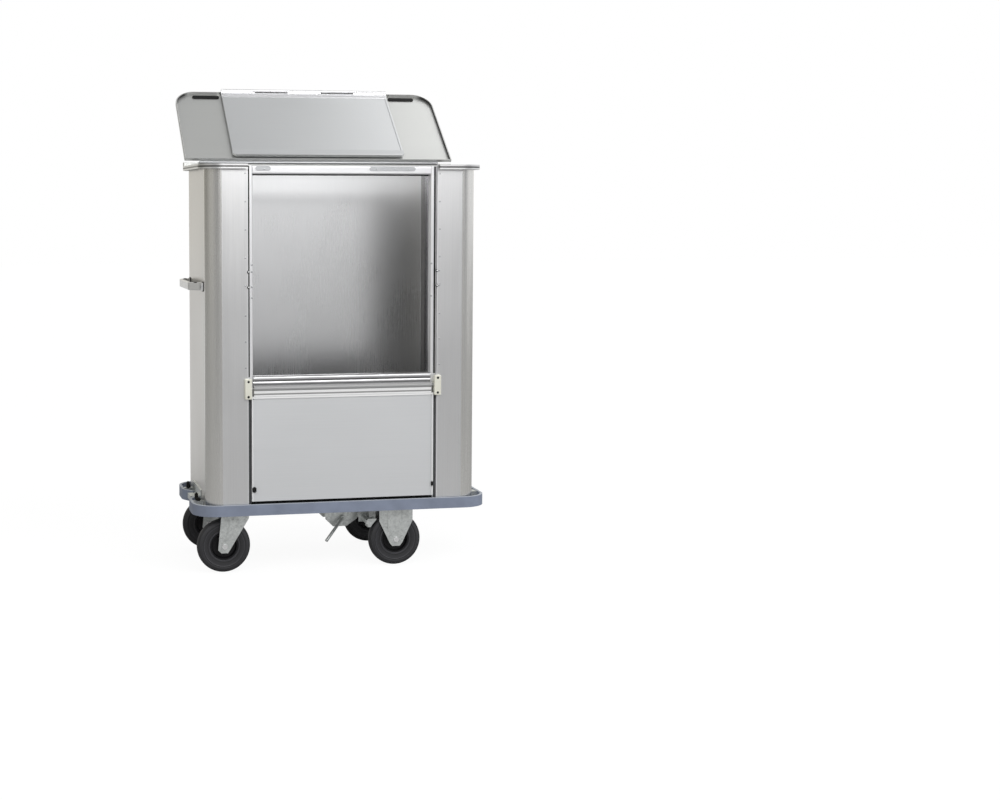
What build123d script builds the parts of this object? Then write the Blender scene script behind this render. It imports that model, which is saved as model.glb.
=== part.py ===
"""Linen cart: aluminium cabinet on castors, with a hinged lid and two front flaps.

Millimetres. X runs along the cart (+X is the end with the fixed castors), -Y is the
front, +Z is up, and the origin is on the floor under the middle of the cabinet.
The lid and its flap are drawn raised, the lower flap hangs down: the cart is open.
"""
from build123d import *
import os
from math import asin, cos, radians, sin, sqrt

# Cabinet
body_length = 1050.0
body_depth = 550.0
corner_radius = 60.0
wall = 2.5
groove_lip = 15.0
wall_top = 1543.0

# Base
rail_height = 24.0
rail_width = 60.0
tube_wall = 3.0
cross_width = 50.0
cross_spacing = 300.0
cross_count = 4
floor_sheet = 2.0
floor_flange = 18.0

# Doorway
doorway_width = 732.0
recess = 20.0
post_width = 21.0
post_depth = 30.0
post_wall = 2.5
post_flange = 28.0
head_height = 32.0
head_gap = 3.5
head_nose = 6.0
post_nose = 5.0
sill_height = 48.0
sill_drop = 2.0
bead_pitch = 17.6
bead_radius = 8.0
bead_proud = 3.5
panel_sheet = 2.5
keeper_sheet = 3.0
keeper_height = 16.0
keeper_drop = 10.7
keeper_spans = ((-305.0, 58.0), (194.0, 180.0))

# Rim and lid
rim_reach = 23.0
rim_height = 18.0
rim_sheet = 2.5
rim_leg = 28.0
seal_height = 1.5
seal_width = 3.0
lid_height = 12.5
lid_sheet = 2.0
lid_lip = 2.0
lid_hinge_y = 163.0
lid_hinge_rise = 1.0
lid_open_angle = 141.0
lid_hinge_radius = 5.0
lid_hinge_pin_radius = 2.5
lid_hinge_length = 980.0
lid_hinge_knuckles = 7
hinge_leaf_width = 26.0
hinge_leaf_sheet = 2.0
knuckle_gap = 0.5
pin_clearance = 0.05
rest_strip_width = 18.0
rest_strip_height = 4.0
rest_strip_flap_gap = 9.0
rest_strip_end_gap = 74.0
rest_strip_inset = 27.0

# Flaps
flap_side_gap = 13.0
flap_sheet = 5.0
flap_edge = 8.0
flap_edge_depth = 10.0
flap_overlap = 24.0
flap_rounding = 2.5
upper_axis_drop = 25.0
upper_barrel_radius = 6.0
upper_pin_radius = 3.0
upper_flap_offset = 11.0
hinge_rail_length = 34.0
hinge_rail_start = 8.5
hinge_rail_drop = 4.0
hinge_rail_step = 22.0
upper_knuckles = 5
upper_rail_height = 34.0
upper_rail_depth = 14.0
upper_rail_chamfer = 12.0
lower_axis_z = 702.0
lower_axis_depth = 5.0
flap_floor_gap = 9.0
lower_barrel_radius = 11.0
lower_leaf = 29.0
lower_pin_radius = 5.0
lower_pin_gap = 2.0
lower_leaf_front = 8.0
lower_leaf_back = 6.0
grip_rail_height = 22.0
grip_rail_drop = 32.0
grip_rail_proud = 5.0
grip_groove_radius = 1.2
grip_groove_spacing = 9.0
buffer_radius = 4.0
buffer_height = 3.0
buffer_inset = 45.0

# Hinge blocks and catches
block_width = 27.0
block_height = 77.0
block_proud = 14.0
block_offset = 1.75
block_screw_spacing = 57.0
block_screw_radius = 4.0
block_screw_depth = 5.0
block_clearance = 2.0
lug_height = 30.0
catch_upper_z = 1142.0
catch_lower_z = 1085.0
catch_radius = 5.5
catch_neck_radius = 4.0
catch_neck = 3.0
catch_head = 4.0
catch_overhang = 1.5

# Push handle
handle_z = 1085.0
handle_height = 30.0
handle_band = 8.0
handle_reach = 50.0
handle_span = 270.0
handle_foot = 34.0
handle_slant = 38.0
handle_bend = 16.0

# Bumper
bumper_end_gap = 38.0
bumper_side_gap = 5.0
bumper_height = 42.0
bumper_drop = 17.0
bumper_band = 10.0
bumper_radius = 88.0
bumper_ear_gap = 100.0
bumper_ear_slant = 60.0
bumper_ear_bend = 45.0
bumper_end_reach = 34.0
spacer_width = 40.0
spacer_inset = 2.0
side_spacer_spacing = 300.0
end_spacer_spacing = 300.0
ear_spacer_width = 14.0
ear_plate_sheet = 4.0
ear_plate_rise = 32.0
ear_plate_overlap = 70.0
ear_shelf_height = 20.0

# Castors
wheel_diameter = 204.0
wheel_width = 50.0
hub_diameter = 106.0
hub_boss_radius = 22.0
hub_web = 16.0
hub_rim = 9.0
tread_drop = 4.0
tread_shoulder = 12.0
rim_bevel = 6.0
castor_head = 36.0
castor_side_inset = 53.0
fixed_castor_inset = 313.0
kingpin_inset = 125.0
castor_trail = 56.0
plate_length = 135.0
plate_width = 105.0
plate_sheet = 5.0
fork_sheet = 4.0
fork_gap = 60.0
race_radius = 40.0
race_height = 12.5
kingpin_radius = 8.0
kingpin_nut_radius = 14.0
kingpin_nut_height = 9.0
plate_corner = 10.0
plate_slot_length = 17.0
plate_slot_width = 11.0
plate_slot_inset = 15.0
axle_radius = 6.0
axle_head_radius = 11.0
axle_head_height = 6.0
swivel_gap = 0.3
fork_foot = 25.0
fork_rib = 2.5
fork_rib_length = 90.0
fork_rib_width = 9.0
fork_rib_spacing = 56.0
fork_shoulder_drop = 60.0
fork_crown_margin = 4.0
fork_crown_length = 88.0
fork_crown_shift = 6.0
swivel_leg_back = 12.0
swivel_leg_front = 38.0
swivel_leg_taper = 2.0
swivel_leg_drop = 12.0
swivel_leg_inset = 4.0
swivel_rib_near = 22.0
swivel_rib_far = 46.0
swivel_rib_drop = 14.0
swivel_rib_foot_near = 4.0
swivel_rib_foot_far = 12.0
swivel_rib_rise = 24.0

# Brake
brake_y = 100.0
brake_plate_sheet = 3.0
brake_plate_back = 68.0
brake_plate_front = 61.0
brake_plate_shoulder = 6.0
brake_plate_drop = 36.0
brake_plate_toe_back = 37.0
brake_plate_toe_front = 17.0
brake_pivot_back = 178.0
brake_pivot_drop = 73.0
brake_shaft_radius = 8.0
brake_rod_radius = 6.0
brake_bar_back = 4.0
brake_bar_drop = 68.0
brake_bar_size = 16.0
brake_stroke = 6.0
brake_guide_y = 150.0
slide_clearance = 0.4
shoe_gap = 2.5
shoe_width = 44.0
shoe_length = 34.0
shoe_height = 32.0
brake_shaft_back = 8.0
brake_shaft_front = 14.0
shoe_offset = 6.0
shoe_drop = 4.0
lever_root = 10.0
lever_reach = 80.0
lever_drop = 76.0
lever_spread = 65.0

# Places that follow from the sizes above
half_length = body_length / 2
half_depth = body_depth / 2
front_y = -half_depth
castor_height = wheel_diameter + castor_head
body_bottom = castor_height
body_height = wall_top - body_bottom
rim_top = wall_top + rim_sheet
rim_bottom = rim_top - rim_height
recess_y = front_y + recess
seam_x = doorway_width / 2
opening_x = seam_x - post_width
post_outer_x = seam_x + post_wall
panel_face_y = recess_y - panel_sheet
lid_base = rim_top + seal_height
lid_top = lid_base + lid_height
lid_hinge_z = lid_top + lid_hinge_rise
lid_edge_gap = lid_hinge_radius + 3.0
lid_front = half_depth + rim_reach + lid_hinge_y
floor_top = body_bottom + rail_height + floor_sheet
head_top = wall_top - head_gap
castor_y = half_depth - castor_side_inset
fixed_castor_x = half_length - fixed_castor_inset
kingpin_x = kingpin_inset - half_length
wheel_radius = wheel_diameter / 2
hub_radius = hub_diameter / 2
bumper_length = body_length + 2 * (bumper_end_gap + bumper_band)
bumper_depth = body_depth + 2 * (bumper_side_gap + bumper_band)
bumper_bottom = body_bottom - bumper_drop
bumper_top = bumper_bottom + bumper_height
flap_width = doorway_width - 2 * flap_side_gap
rest_strip_start = flap_width / 2 + rest_strip_flap_gap
rest_strip_length = half_length + rim_reach - rest_strip_end_gap - rest_strip_start
lower_axis_y = front_y + lower_axis_depth
lower_end_z = bumper_top + flap_floor_gap
lower_flap_length = lower_axis_z - lower_end_z
sill_bottom = lower_axis_z - sill_drop
sill_top = sill_bottom + sill_height
upper_axis_shut_z = lid_top - upper_axis_drop
upper_flap_length = upper_axis_shut_z - lower_axis_z - lower_flap_length + flap_overlap
block_x = seam_x + block_offset
brake_plate_reach = cross_spacing / 2
brake_pivot_x = fixed_castor_x - brake_pivot_back
brake_pivot_z = castor_height - brake_pivot_drop
brake_bar_x = fixed_castor_x - wheel_radius - brake_bar_back
brake_bar_z = castor_height - brake_bar_drop
groove_depth = 2 * wall
sides = (("left", -1), ("right", 1))
ends = (("front", -1), ("rear", 1))

# Lid frame: its origin is on the hinge axis, its y runs to the rear and its z up when shut
lid_normal = (0, sin(radians(lid_open_angle)), cos(radians(lid_open_angle)))
lid_along = (0, cos(radians(lid_open_angle)), -sin(radians(lid_open_angle)))
lid_plane = Plane(origin=(0, lid_hinge_y, lid_hinge_z), x_dir=(1, 0, 0), z_dir=lid_normal)

# Upper flap axis, in the lid frame
flap_axis_y = upper_barrel_radius - lid_front
flap_axis_z = lid_top - lid_hinge_z - upper_axis_drop

os.makedirs("parts", exist_ok=True)


def save(piece, label):
    """Name a finished piece and write it as its own file."""
    piece.part.label = label
    export_step(piece.part, f"parts/{label}.step")


def lid_point(x, y, z):
    """World position of a point given in the lid frame."""
    return lid_plane.from_local_coords(Vector(x, y, z))


def lid_level(z):
    """Plane parallel to the lid, z above the hinge axis."""
    return Plane(origin=lid_point(0, 0, z), x_dir=(1, 0, 0), z_dir=lid_normal)


def lid_section(x):
    """Plane across the lid at x: its x runs to the rear of the lid, its y up from it."""
    return Plane(origin=lid_point(x, 0, 0), x_dir=lid_along, z_dir=(1, 0, 0))


def outline(offset, mode=Mode.ADD):
    """Cabinet outline seen from above, grown by offset."""
    return RectangleRounded(
        body_length + 2 * offset, body_depth + 2 * offset, corner_radius + offset, mode=mode
    )


def cross_section(x):
    """Plane across the cart at x: its x runs to the rear, its y up."""
    return Plane(origin=(x, 0, 0), x_dir=(0, 1, 0), z_dir=(1, 0, 0))


def length_section(y):
    """Plane along the cart at y, seen from the front: its x runs right, its y up."""
    return Plane(origin=(0, y, 0), x_dir=(1, 0, 0), z_dir=(0, -1, 0))


def box_between(low, high, mode=Mode.ADD):
    """Box from its low corner to its high corner."""
    size = [b - a for a, b in zip(low, high)]
    middle = tuple((a + b) / 2 for a, b in zip(low, high))
    with Locations(middle):
        return Box(*size, mode=mode)


# Base frame: two long box tubes with cross tubes between them
with BuildPart() as base_frame:
    for _, side in ends:
        with BuildSketch(cross_section(wall + groove_depth - half_length)):
            with Locations((side * castor_y, body_bottom + rail_height / 2)):
                Rectangle(rail_width, rail_height)
                Rectangle(rail_width - 2 * tube_wall, rail_height - 2 * tube_wall, mode=Mode.SUBTRACT)
        extrude(amount=body_length - 2 * (wall + groove_depth))
    for i in range(cross_count):
        x = (i - (cross_count - 1) / 2) * cross_spacing
        with BuildSketch(length_section(castor_y - rail_width / 2)):
            with Locations((x, body_bottom + rail_height / 2)):
                Rectangle(cross_width, rail_height)
                Rectangle(cross_width - 2 * tube_wall, rail_height - 2 * tube_wall, mode=Mode.SUBTRACT)
        extrude(amount=2 * castor_y - rail_width)
    with BuildSketch(Plane.XY.offset(body_bottom)):
        outline(-groove_depth)
    extrude(amount=rail_height, mode=Mode.INTERSECT)
save(base_frame, "base_frame")

# Floor pan: sheet with turned-up edges, cut round the doorway recess
with BuildPart() as floor_pan:
    with BuildSketch(Plane.XY.offset(floor_top - floor_sheet)):
        outline(-groove_depth)
    extrude(amount=floor_sheet)
    with BuildSketch(Plane.XY.offset(floor_top)):
        outline(-groove_depth)
        outline(-groove_depth - floor_sheet, mode=Mode.SUBTRACT)
    extrude(amount=floor_flange)
    box_between(
        (-post_outer_x, front_y, floor_top - floor_sheet),
        (post_outer_x, recess_y, floor_top + floor_flange),
        mode=Mode.SUBTRACT,
    )
    for _, side in sides:
        x = (side * opening_x, side * post_outer_x)
        box_between(
            (min(x), recess_y, floor_top - floor_sheet),
            (max(x), recess_y + post_depth, floor_top + floor_flange),
            mode=Mode.SUBTRACT,
        )
    box_between(
        (-post_outer_x - post_flange, front_y, floor_top),
        (post_outer_x + post_flange, recess_y + post_depth, floor_top + floor_flange),
        mode=Mode.SUBTRACT,
    )
save(floor_pan, "floor_pan")

# Corner profiles: quarter rounds with lips behind that the wall sheets seat on
for end_name, end in ends:
    for side_name, side in sides:
        with BuildPart() as corner_profile:
            for outer, inner, reach in (
                (0, -wall, corner_radius),
                (-wall, -groove_depth, corner_radius + groove_lip),
            ):
                with BuildSketch(Plane.XY.offset(body_bottom)):
                    outline(outer)
                    outline(inner, mode=Mode.SUBTRACT)
                    with Locations(
                        (side * (half_length - reach / 2), end * (half_depth - reach / 2))
                    ):
                        Rectangle(reach, reach, mode=Mode.INTERSECT)
                extrude(amount=body_height)
        save(corner_profile, f"corner_profile_{end_name}_{side_name}")

# Wall sheets between the corner profiles
for side_name, side in sides:
    with BuildPart() as end_panel:
        with BuildSketch(Plane.XY.offset(body_bottom)):
            with Locations((side * (half_length - wall / 2), 0)):
                Rectangle(wall, body_depth - 2 * corner_radius)
        extrude(amount=body_height)
    save(end_panel, f"end_panel_{side_name}")

with BuildPart() as rear_panel:
    with BuildSketch(Plane.XY.offset(body_bottom)):
        with Locations((0, half_depth - wall / 2)):
            Rectangle(body_length - 2 * corner_radius, wall)
    extrude(amount=body_height)
save(rear_panel, "rear_panel")

strip_width = half_length - corner_radius - post_outer_x
for side_name, side in sides:
    with BuildPart() as front_strip:
        with BuildSketch(Plane.XY.offset(body_bottom)):
            with Locations((side * (post_outer_x + strip_width / 2), front_y + wall / 2)):
                Rectangle(strip_width, wall)
        extrude(amount=body_height)
    save(front_strip, f"front_strip_{side_name}")

# Doorway frame: posts with a flange behind the front strip, head bar and beaded sill
for side_name, side in sides:
    with BuildPart() as door_post:
        with BuildSketch(Plane.XY.offset(body_bottom + rail_height)) as post_shape:
            box_middle = side * (opening_x + (post_width + post_wall) / 2)
            with Locations((box_middle, recess_y + post_depth / 2)):
                Rectangle(post_width + post_wall, post_depth)
            nose = post_shape.vertices().group_by(Axis.Y)[0].sort_by(Axis.X)
            fillet(nose[0 if side > 0 else -1], radius=post_nose)
            with Locations((box_middle, recess_y + post_depth / 2)):
                RectangleRounded(
                    post_width - post_wall,
                    post_depth - 2 * post_wall,
                    post_nose - post_wall,
                    mode=Mode.SUBTRACT,
                )
        extrude(amount=head_top - body_bottom - rail_height)
        with BuildSketch(Plane.XY.offset(body_bottom)):
            with Locations((side * (seam_x + post_wall / 2), front_y + recess / 2)):
                Rectangle(post_wall, recess)
            with Locations((side * (seam_x + post_flange / 2), front_y + wall * 1.5)):
                Rectangle(post_flange, wall)
        extrude(amount=head_top - body_bottom)
    save(door_post, f"door_post_{side_name}")

with BuildPart() as door_head:
    with BuildSketch(cross_section(-opening_x)) as head_shape:
        with Locations((recess_y + post_depth / 2, head_top - head_height / 2)):
            Rectangle(post_depth, head_height)
        fillet(head_shape.vertices().group_by(Axis.X)[0], radius=head_nose)
        with Locations((recess_y + post_depth / 2, head_top - head_height / 2)):
            Rectangle(post_depth - 2 * post_wall, head_height - 2 * post_wall, mode=Mode.SUBTRACT)
    extrude(amount=2 * opening_x)
save(door_head, "door_head")

with BuildPart() as door_sill:
    with BuildSketch(cross_section(-opening_x)):
        with Locations((panel_face_y + post_depth / 2, sill_bottom + sill_height / 2)):
            Rectangle(post_depth, sill_height)
        for bead_z in (sill_top - bead_radius, sill_top - bead_radius - bead_pitch):
            with Locations((panel_face_y + bead_radius - bead_proud, bead_z)):
                Circle(bead_radius)
        with Locations((panel_face_y + post_depth / 2 + post_wall, sill_bottom + sill_height / 2)):
            Rectangle(post_depth - 4 * post_wall, sill_height - 4 * post_wall, mode=Mode.SUBTRACT)
    extrude(amount=2 * opening_x)
save(door_sill, "door_sill")

with BuildPart() as lower_front_panel:
    box_between(
        (-seam_x, panel_face_y, body_bottom),
        (seam_x, recess_y, sill_bottom),
    )
save(lower_front_panel, "lower_front_panel")

# Keeper plates on the head bar, clear of the lid
with BuildPart() as lid_keepers:
    for keeper_x, keeper_length in keeper_spans:
        with BuildSketch(length_section(recess_y)):
            with Locations((keeper_x, head_top - keeper_drop)):
                SlotOverall(keeper_length, keeper_height)
        extrude(amount=keeper_sheet)
save(lid_keepers, "lid_keepers")

# Rim: flange with a turned-down edge outside and a leg inside, in two halves
for side_name, side in sides:
    with BuildPart() as rim:
        for outer, inner, low, high in (
            (rim_reach, -groove_depth - wall, wall_top, rim_top),
            (rim_reach, rim_reach - rim_sheet, rim_bottom, rim_top),
            (-groove_depth, -groove_depth - wall, wall_top - rim_leg, rim_top),
        ):
            with BuildSketch(Plane.XY.offset(low)):
                outline(outer)
                outline(inner, mode=Mode.SUBTRACT)
                with Locations((side * body_length / 2, 0)):
                    Rectangle(body_length, 2 * body_depth, mode=Mode.INTERSECT)
                with Locations((0, front_y)):
                    Rectangle(2 * post_outer_x, 4 * rim_reach, mode=Mode.SUBTRACT)
            extrude(amount=high - low)
    save(rim, f"rim_{side_name}")

# Fixed rear part of the lid
rear_edge_y = lid_hinge_y + lid_edge_gap
with BuildPart() as lid_rear_panel:
    rear_cut = Location((0, rear_edge_y + body_depth / 2, 0))
    with BuildSketch(Plane.XY.offset(lid_top - lid_sheet)):
        outline(rim_reach)
        with Locations((0, rear_edge_y + body_depth / 2)):
            Rectangle(2 * body_length, body_depth, mode=Mode.INTERSECT)
    extrude(amount=lid_sheet)
    with BuildSketch(Plane.XY.offset(rim_top)):
        outline(rim_reach)
        outline(rim_reach - lid_lip, mode=Mode.SUBTRACT)
        with Locations((0, rear_edge_y + body_depth / 2)):
            Rectangle(2 * body_length, body_depth, mode=Mode.INTERSECT)
    extrude(amount=lid_top - rim_top)
    box_between(
        (-half_length - rim_reach + lid_lip, rear_edge_y, rim_top + 1),
        (half_length + rim_reach - lid_lip, rear_edge_y + lid_lip, lid_top),
    )
save(lid_rear_panel, "lid_rear_panel")

# Lid hinge: a long hinge with alternate knuckles on one pin
knuckle_pitch = lid_hinge_length / lid_hinge_knuckles


def hinge_knuckle(index):
    """Start of one knuckle along X."""
    return -lid_hinge_length / 2 + index * knuckle_pitch


with BuildPart() as lid_hinge_fixed_leaf:
    leaf_y = lid_hinge_y + lid_hinge_radius + knuckle_gap
    box_between(
        (-lid_hinge_length / 2, leaf_y, lid_top),
        (lid_hinge_length / 2, leaf_y + hinge_leaf_width, lid_top + hinge_leaf_sheet),
    )
    for i in range(0, lid_hinge_knuckles, 2):
        with BuildSketch(cross_section(hinge_knuckle(i) + knuckle_gap / 2)):
            with Locations((lid_hinge_y, lid_hinge_z)):
                Circle(lid_hinge_radius)
            with Locations((lid_hinge_y + lid_hinge_radius / 2 + 1, lid_top + hinge_leaf_sheet / 2)):
                Rectangle(lid_hinge_radius + 2, hinge_leaf_sheet)
            with Locations((lid_hinge_y, lid_hinge_z)):
                Circle(lid_hinge_pin_radius, mode=Mode.SUBTRACT)
        extrude(amount=knuckle_pitch - knuckle_gap)
save(lid_hinge_fixed_leaf, "lid_hinge_fixed_leaf")

with BuildPart() as lid_hinge_pin:
    with BuildSketch(cross_section(-lid_hinge_length / 2)):
        with Locations((lid_hinge_y, lid_hinge_z)):
            Circle(lid_hinge_pin_radius)
    extrude(amount=lid_hinge_length)
save(lid_hinge_pin, "lid_hinge_pin")

leaf_drop = lid_top - lid_hinge_z
with BuildPart() as lid_hinge_leaf:
    with BuildSketch(lid_level(leaf_drop)):
        with Locations((0, -lid_hinge_radius - knuckle_gap - hinge_leaf_width / 2)):
            Rectangle(lid_hinge_length, hinge_leaf_width)
    extrude(amount=hinge_leaf_sheet)
    for i in range(1, lid_hinge_knuckles, 2):
        with BuildSketch(lid_section(hinge_knuckle(i) + knuckle_gap / 2)):
            Circle(lid_hinge_radius)
            with Locations((-lid_hinge_radius / 2 - 1, leaf_drop + hinge_leaf_sheet / 2)):
                Rectangle(lid_hinge_radius + 2, hinge_leaf_sheet)
            Circle(lid_hinge_pin_radius + pin_clearance, mode=Mode.SUBTRACT)
        extrude(amount=knuckle_pitch - knuckle_gap)
save(lid_hinge_leaf, "lid_hinge_leaf")


# Lid: pan with lips all round, and a deeper front lip that carries the flap's barrels
def lid_outline(offset, mode=Mode.ADD):
    """Outline of the lid's hinged part in the lid frame, grown by offset at its outside."""
    middle = -lid_hinge_y
    with Locations((0, middle)):
        return outline(rim_reach + offset, mode=mode)


def keep_hinged_part(extra=0.0):
    """Keep only what lies in front of the hinge."""
    with Locations((0, -lid_edge_gap + extra - body_depth)):
        Rectangle(2 * body_length, 2 * body_depth, mode=Mode.INTERSECT)


flap_pitch = flap_width / upper_knuckles


def flap_knuckle(index):
    """Start of one flap knuckle along X."""
    return -flap_width / 2 + index * flap_pitch


plate_under = lid_top - lid_sheet - lid_hinge_z
lip_under = lid_base - lid_hinge_z
barrel_top = flap_axis_z + upper_barrel_radius
with BuildPart() as lid_pan:
    with BuildSketch(lid_level(plate_under)):
        lid_outline(0)
        keep_hinged_part()
    extrude(amount=lid_sheet)
    with BuildSketch(lid_level(lip_under)):
        lid_outline(0)
        lid_outline(-lid_lip, mode=Mode.SUBTRACT)
        keep_hinged_part()
    extrude(amount=plate_under - lip_under)
    with BuildSketch(lid_level(lip_under)):
        with Locations((0, -lid_edge_gap - lid_lip / 2)):
            Rectangle(2 * (half_length + rim_reach - lid_lip), lid_lip)
    extrude(amount=plate_under - lip_under)
    with BuildSketch(lid_level(barrel_top + 1.5)):
        with Locations((0, lid_lip / 2 - lid_front)):
            Rectangle(flap_width, lid_lip)
    extrude(amount=lip_under - barrel_top - 1.5)
    for i in range(1, upper_knuckles, 2):
        with BuildSketch(lid_section(flap_knuckle(i) + knuckle_gap / 2)):
            with Locations((flap_axis_y, flap_axis_z)):
                Circle(upper_barrel_radius)
            with Locations((lid_lip / 2 - lid_front, flap_axis_z + upper_barrel_radius / 2 + 1)):
                Rectangle(lid_lip, upper_barrel_radius + 2)
            with Locations((flap_axis_y, flap_axis_z)):
                Circle(upper_pin_radius, mode=Mode.SUBTRACT)
        extrude(amount=flap_pitch - knuckle_gap)
save(lid_pan, "lid_pan")

# Rubber seal inside the lid's lips, standing out below them onto the rim
with BuildPart() as lid_seal:
    with BuildSketch(lid_level(lip_under - seal_height)):
        lid_outline(-lid_lip)
        lid_outline(-lid_lip - seal_width, mode=Mode.SUBTRACT)
        keep_hinged_part(-lid_lip)
        with Locations((0, -lid_front)):
            Rectangle(2 * post_outer_x, 4 * (lid_lip + seal_width), mode=Mode.SUBTRACT)
    extrude(amount=plate_under - lip_under + seal_height)
save(lid_seal, "lid_seal")

# Rubber rest strips under the lid, beside the folded flap
with BuildPart() as lid_rest_strips:
    for _, side in sides:
        with BuildSketch(lid_level(plate_under - rest_strip_height)):
            strip_x = side * (rest_strip_start + rest_strip_length / 2)
            with Locations((strip_x, rest_strip_inset - lid_front)):
                SlotOverall(rest_strip_length, rest_strip_width)
        extrude(amount=rest_strip_height)
save(lid_rest_strips, "lid_rest_strips")

with BuildPart() as upper_flap_pin:
    with BuildSketch(lid_section(-flap_width / 2)):
        with Locations((flap_axis_y, flap_axis_z)):
            Circle(upper_pin_radius)
    extrude(amount=flap_width)
save(upper_flap_pin, "upper_flap_pin")

# Upper flap, folded under the raised lid: its length runs along the lid's y
flap_middle = flap_axis_z + upper_flap_offset
flap_face = flap_middle - flap_sheet / 2
panel_start = flap_axis_y + hinge_rail_length
panel_end = flap_axis_y + upper_flap_length - upper_rail_height

with BuildPart() as upper_flap_panel:
    with BuildSketch(lid_level(flap_face)):
        with Locations((0, (panel_start + panel_end) / 2)):
            Rectangle(flap_width, panel_end - panel_start)
    extrude(amount=flap_sheet)
    for _, side in sides:
        with BuildSketch(lid_level(flap_middle - flap_edge_depth / 2)):
            with Locations(
                (side * (flap_width - flap_edge) / 2, (panel_start + panel_end) / 2)
            ):
                Rectangle(flap_edge, panel_end - panel_start)
        extrude(amount=flap_edge_depth)
    long_edges = upper_flap_panel.edges().filter_by(
        lambda edge: abs(edge.length - (panel_end - panel_start)) < 0.01
    )
    fillet(long_edges.group_by(Axis.X)[0] + long_edges.group_by(Axis.X)[-1], radius=flap_rounding)
save(upper_flap_panel, "upper_flap_panel")

with BuildPart() as upper_flap_hinge_rail:
    rail_low = flap_axis_z + hinge_rail_drop
    rail_high = flap_middle + flap_edge_depth / 2
    with BuildSketch(lid_section(-flap_width / 2)):
        with BuildLine():
            Polyline(
                (flap_axis_y + hinge_rail_start, rail_low),
                (flap_axis_y + hinge_rail_step, rail_low),
                (flap_axis_y + hinge_rail_step + 2, flap_face - 1),
                (panel_start, flap_face - 1),
                (panel_start, rail_high),
                (flap_axis_y + hinge_rail_start, rail_high),
                close=True,
            )
        make_face()
    extrude(amount=flap_width)
    for i in range(0, upper_knuckles, 2):
        with BuildSketch(lid_section(flap_knuckle(i) + knuckle_gap / 2)):
            with Locations((flap_axis_y, flap_axis_z)):
                Circle(upper_barrel_radius)
            with BuildLine():
                Polyline(
                    (flap_axis_y - 1, flap_axis_z + upper_barrel_radius - 0.1),
                    (flap_axis_y + hinge_rail_start, rail_high),
                    (flap_axis_y + hinge_rail_start, rail_low),
                    (flap_axis_y + upper_barrel_radius - 1, flap_axis_z),
                    close=True,
                )
            make_face()
            with Locations((flap_axis_y, flap_axis_z)):
                Circle(upper_pin_radius + pin_clearance, mode=Mode.SUBTRACT)
        extrude(amount=flap_pitch - knuckle_gap)
save(upper_flap_hinge_rail, "upper_flap_hinge_rail")

with BuildPart() as upper_flap_bottom_rail:
    rail_end = flap_axis_y + upper_flap_length
    rail_outer = flap_middle + flap_edge_depth / 2 - upper_rail_depth
    with BuildSketch(lid_section(-flap_width / 2)):
        with Locations(((panel_end + rail_end) / 2, flap_middle)):
            Rectangle(upper_rail_height, flap_edge_depth)
        with Locations((panel_end + 6, flap_middle)):
            Circle(6)
        with BuildLine():
            Polyline(
                (panel_end + 4, rail_outer + 1.5),
                (rail_end - 8, rail_outer + 4),
                (rail_end, flap_middle - flap_edge_depth / 2),
                (panel_end + 4, flap_middle),
                close=True,
            )
        make_face()
    extrude(amount=flap_width)
    for _, side in sides:
        with BuildSketch(lid_level(rail_outer - 5)):
            with BuildLine():
                Polyline(
                    (side * flap_width / 2, rail_end - upper_rail_chamfer),
                    (side * flap_width / 2, rail_end),
                    (side * (flap_width / 2 - upper_rail_chamfer), rail_end),
                    close=True,
                )
            make_face()
        extrude(amount=4 * flap_edge_depth, mode=Mode.SUBTRACT)
save(upper_flap_bottom_rail, "upper_flap_bottom_rail")

# Lower flap, hanging down open: its inner face shows, its grip rail is behind
leaf_end_z = lower_axis_z - lower_leaf
grip_top_z = lower_end_z + grip_rail_drop + grip_rail_height
with BuildPart() as lower_flap_panel:
    box_between(
        (-flap_width / 2, lower_axis_y - flap_sheet / 2, lower_end_z),
        (flap_width / 2, lower_axis_y + flap_sheet / 2, leaf_end_z),
    )
    edge_top_z = lower_axis_z - block_height / 2 - block_clearance
    for _, side in sides:
        x = (side * flap_width / 2, side * (flap_width / 2 - flap_edge))
        box_between(
            (min(x), lower_axis_y - flap_edge_depth / 2, lower_end_z),
            (max(x), lower_axis_y + flap_edge_depth / 2, edge_top_z),
        )
        box_between(
            (min(x) - (flap_edge if side < 0 else 0), lower_axis_y - flap_edge_depth, edge_top_z),
            (max(x) + (flap_edge if side > 0 else 0), lower_axis_y + flap_edge_depth, leaf_end_z),
            mode=Mode.SUBTRACT,
        )
    upright_edges = lower_flap_panel.edges().filter_by(Axis.Z).filter_by(
        lambda edge: edge.length > lower_flap_length / 2
    )
    fillet(upright_edges.group_by(Axis.X)[0] + upright_edges.group_by(Axis.X)[-1], radius=flap_rounding)
save(lower_flap_panel, "lower_flap_panel")

lower_rail_width = flap_width - 2 * flap_edge
with BuildPart() as lower_flap_hinge_rail:
    with BuildSketch(cross_section(-lower_rail_width / 2)):
        with Locations((lower_axis_y, lower_axis_z)):
            Circle(lower_barrel_radius)
        with BuildLine():
            Polyline(
                (lower_axis_y - lower_leaf_front, lower_axis_z - lower_barrel_radius / 2),
                (lower_axis_y - lower_leaf_front + 2, leaf_end_z + 8),
                (lower_axis_y - lower_leaf_front, leaf_end_z + 6),
                (lower_axis_y - lower_leaf_front, leaf_end_z),
                (lower_axis_y + lower_leaf_back, leaf_end_z),
                (lower_axis_y + lower_leaf_back, lower_axis_z - lower_barrel_radius / 2),
                close=True,
            )
        make_face()
    extrude(amount=lower_rail_width)
    for _, side in sides:
        with BuildSketch(cross_section(side * lower_rail_width / 2)):
            with Locations((lower_axis_y, lower_axis_z)):
                Circle(lower_pin_radius)
        extrude(amount=side * (seam_x - lower_pin_gap - lower_rail_width / 2))
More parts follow.
